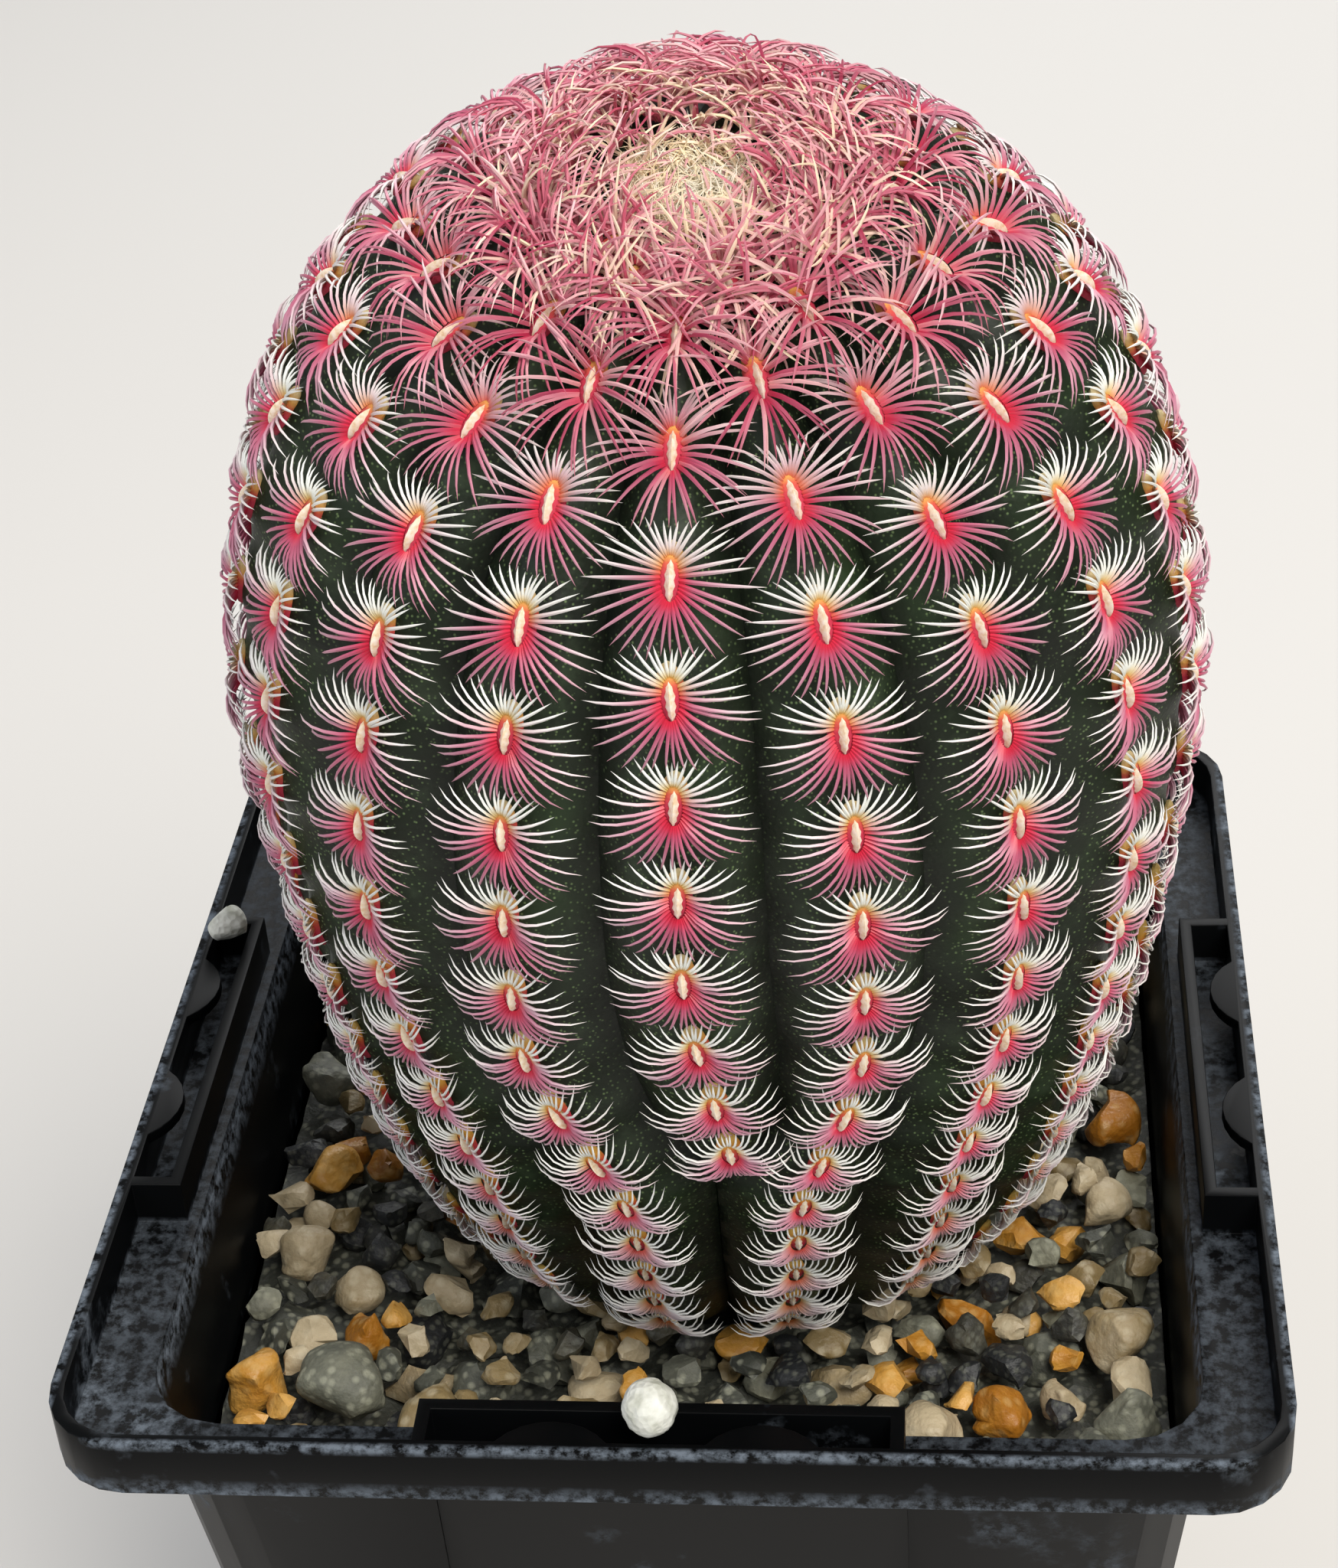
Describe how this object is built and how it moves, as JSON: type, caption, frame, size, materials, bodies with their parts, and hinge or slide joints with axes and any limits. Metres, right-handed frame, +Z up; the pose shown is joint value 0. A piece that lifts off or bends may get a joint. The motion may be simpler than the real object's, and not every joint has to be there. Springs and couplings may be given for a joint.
{
  "type": "potted round cactus",
  "caption": "Round ribbed cactus with comb-like pink spines, in a square black plastic nursery pot topped with mineral gravel.",
  "frame": {"origin": "middle of the pot's foot, on the surface that the pot stands on", "axes": "+Z up, -Y towards the front of the plant, +X to the right as seen from the front"},
  "size_m": [0.09, 0.09, 0.1691],
  "materials": {
    "pot": "satin",
    "substrate": "matte",
    "gravel": "matte",
    "skin": "satin",
    "spines": "satin",
    "crown": "satin",
    "white_mineral": "matte",
    "grey_granite": "matte",
    "cream_quartz": "satin",
    "orange_quartz": "satin",
    "dark_stone": "matte"
  },
  "bodies": {
    "root": {"pot": "pot", "substrate": "substrate", "gravel_bed": "gravel", "stem": "skin", "crown_spines": "crown", "perlite_bead": "white_mineral", "white_chip": "white_mineral", "spine_row_01": "spines", "spine_row_02": "spines", "spine_row_03": "spines", "spine_row_04": "spines", "spine_row_05": "spines", "spine_row_06": "spines", "spine_row_07": "spines", "spine_row_08": "spines", "spine_row_09": "spines", "spine_row_10": "spines", "spine_row_11": "spines", "spine_row_12": "spines", "spine_row_13": "spines", "spine_row_14": "spines", "spine_row_15": "spines", "spine_row_16": "spines", "spine_row_17": "spines", "spine_row_18": "spines", "spine_row_19": "spines", "pebble_01": "orange_quartz", "pebble_02": "cream_quartz", "pebble_03": "grey_granite", "pebble_04": "cream_quartz", "pebble_05": "cream_quartz", "pebble_06": "orange_quartz", "pebble_07": "cream_quartz", "pebble_08": "cream_quartz", "pebble_09": "orange_quartz", "pebble_10": "orange_quartz", "pebble_11": "cream_quartz", "pebble_12": "cream_quartz", "pebble_13": "grey_granite", "pebble_14": "cream_quartz", "pebble_15": "dark_stone", "pebble_16": "orange_quartz", "pebble_17": "orange_quartz", "pebble_18": "cream_quartz", "pebble_19": "orange_quartz", "pebble_20": "dark_stone", "pebble_21": "grey_granite", "pebble_22": "dark_stone", "pebble_23": "cream_quartz", "pebble_24": "grey_granite", "pebble_25": "orange_quartz", "pebble_26": "grey_granite", "pebble_27": "dark_stone", "pebble_28": "grey_granite"}
  },
  "joints": []
}
